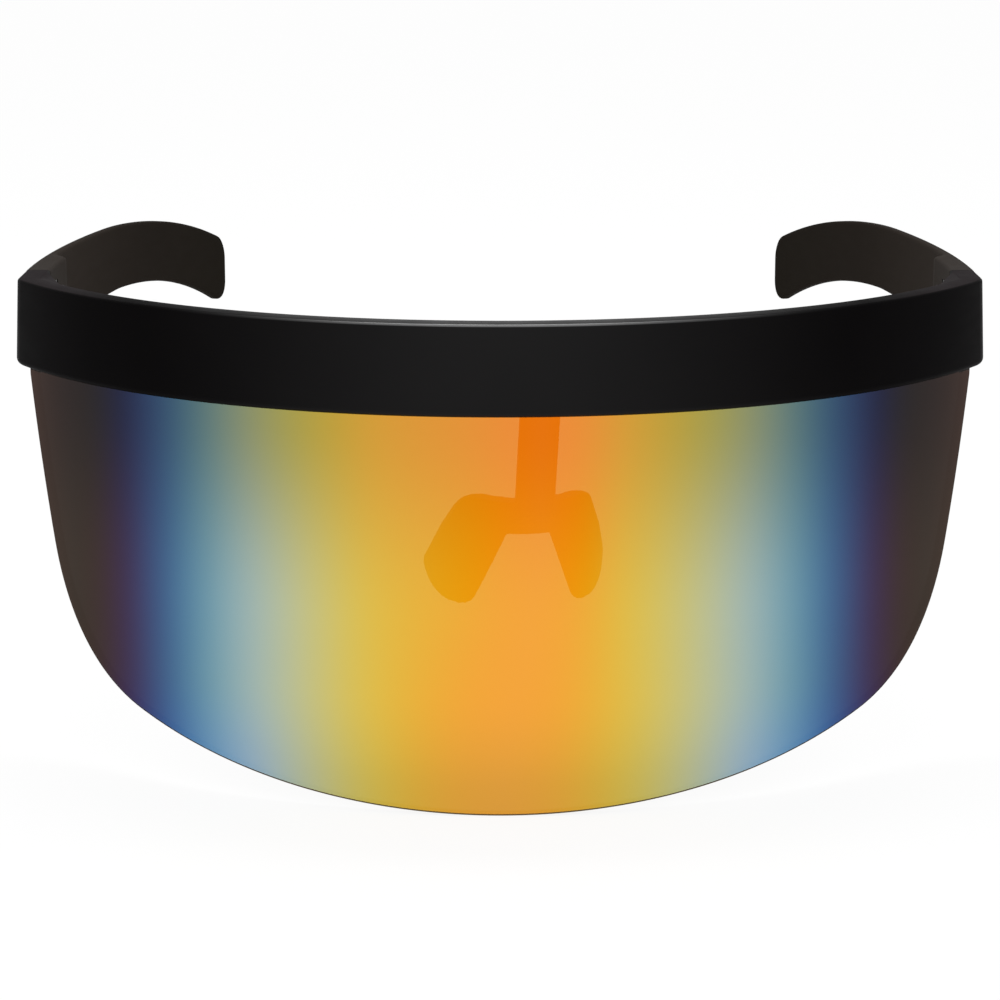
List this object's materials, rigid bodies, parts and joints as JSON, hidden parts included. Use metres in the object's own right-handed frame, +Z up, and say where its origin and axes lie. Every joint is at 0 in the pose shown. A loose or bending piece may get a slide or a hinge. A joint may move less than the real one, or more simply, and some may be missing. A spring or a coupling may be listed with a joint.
{
  "type": "shield sunglasses",
  "caption": "Oversized wraparound sunglasses: a flat-topped brow bar holds a mirrored shield lens and an offset nose piece, with wide band temples that fold on screw hinges.",
  "frame": {"origin": "middle of the brow bar's flat top face, at mid-wall", "axes": "as worn: -Y the way the lens faces, +Y along the temples to the ears, +Z up, +X to the right in the picture"},
  "size_m": [0.173, 0.183, 0.0836],
  "materials": {
    "bar": "satin black, moulded",
    "lens": "clear tinted sheet with a gold, green and blue mirror coating",
    "nose": "fine matte black",
    "temple": "matte black, faintly brown",
    "hinge": "nickel silver, tumbled",
    "screw": "bright steel, turned"
  },
  "bodies": {
    "front": {"brow_bar": "bar", "shield_lens": "lens", "nose_piece": "nose", "left_front_hinge": "hinge", "right_front_hinge": "hinge", "left_pivot_screw": "screw", "right_pivot_screw": "screw", "left_front_leaf_screws": "screw", "right_front_leaf_screws": "screw"},
    "left_temple": {"left_temple": "temple", "left_temple_hinge": "hinge", "left_temple_leaf_screws": "screw"},
    "right_temple": {"right_temple": "temple", "right_temple_hinge": "hinge", "right_temple_leaf_screws": "screw"}
  },
  "joints": [
    {"name": "left_temple_fold", "type": "hinge", "parent": "front", "child": "left_temple", "pos_m": [-0.0807, 0.05925, -0.0077], "axis": [0, 0, -1], "range_deg": [0, 100]},
    {"name": "right_temple_fold", "type": "hinge", "parent": "front", "child": "right_temple", "pos_m": [0.0807, 0.05925, -0.0077], "axis": [0, 0, 1], "range_deg": [0, 80]}
  ]
}
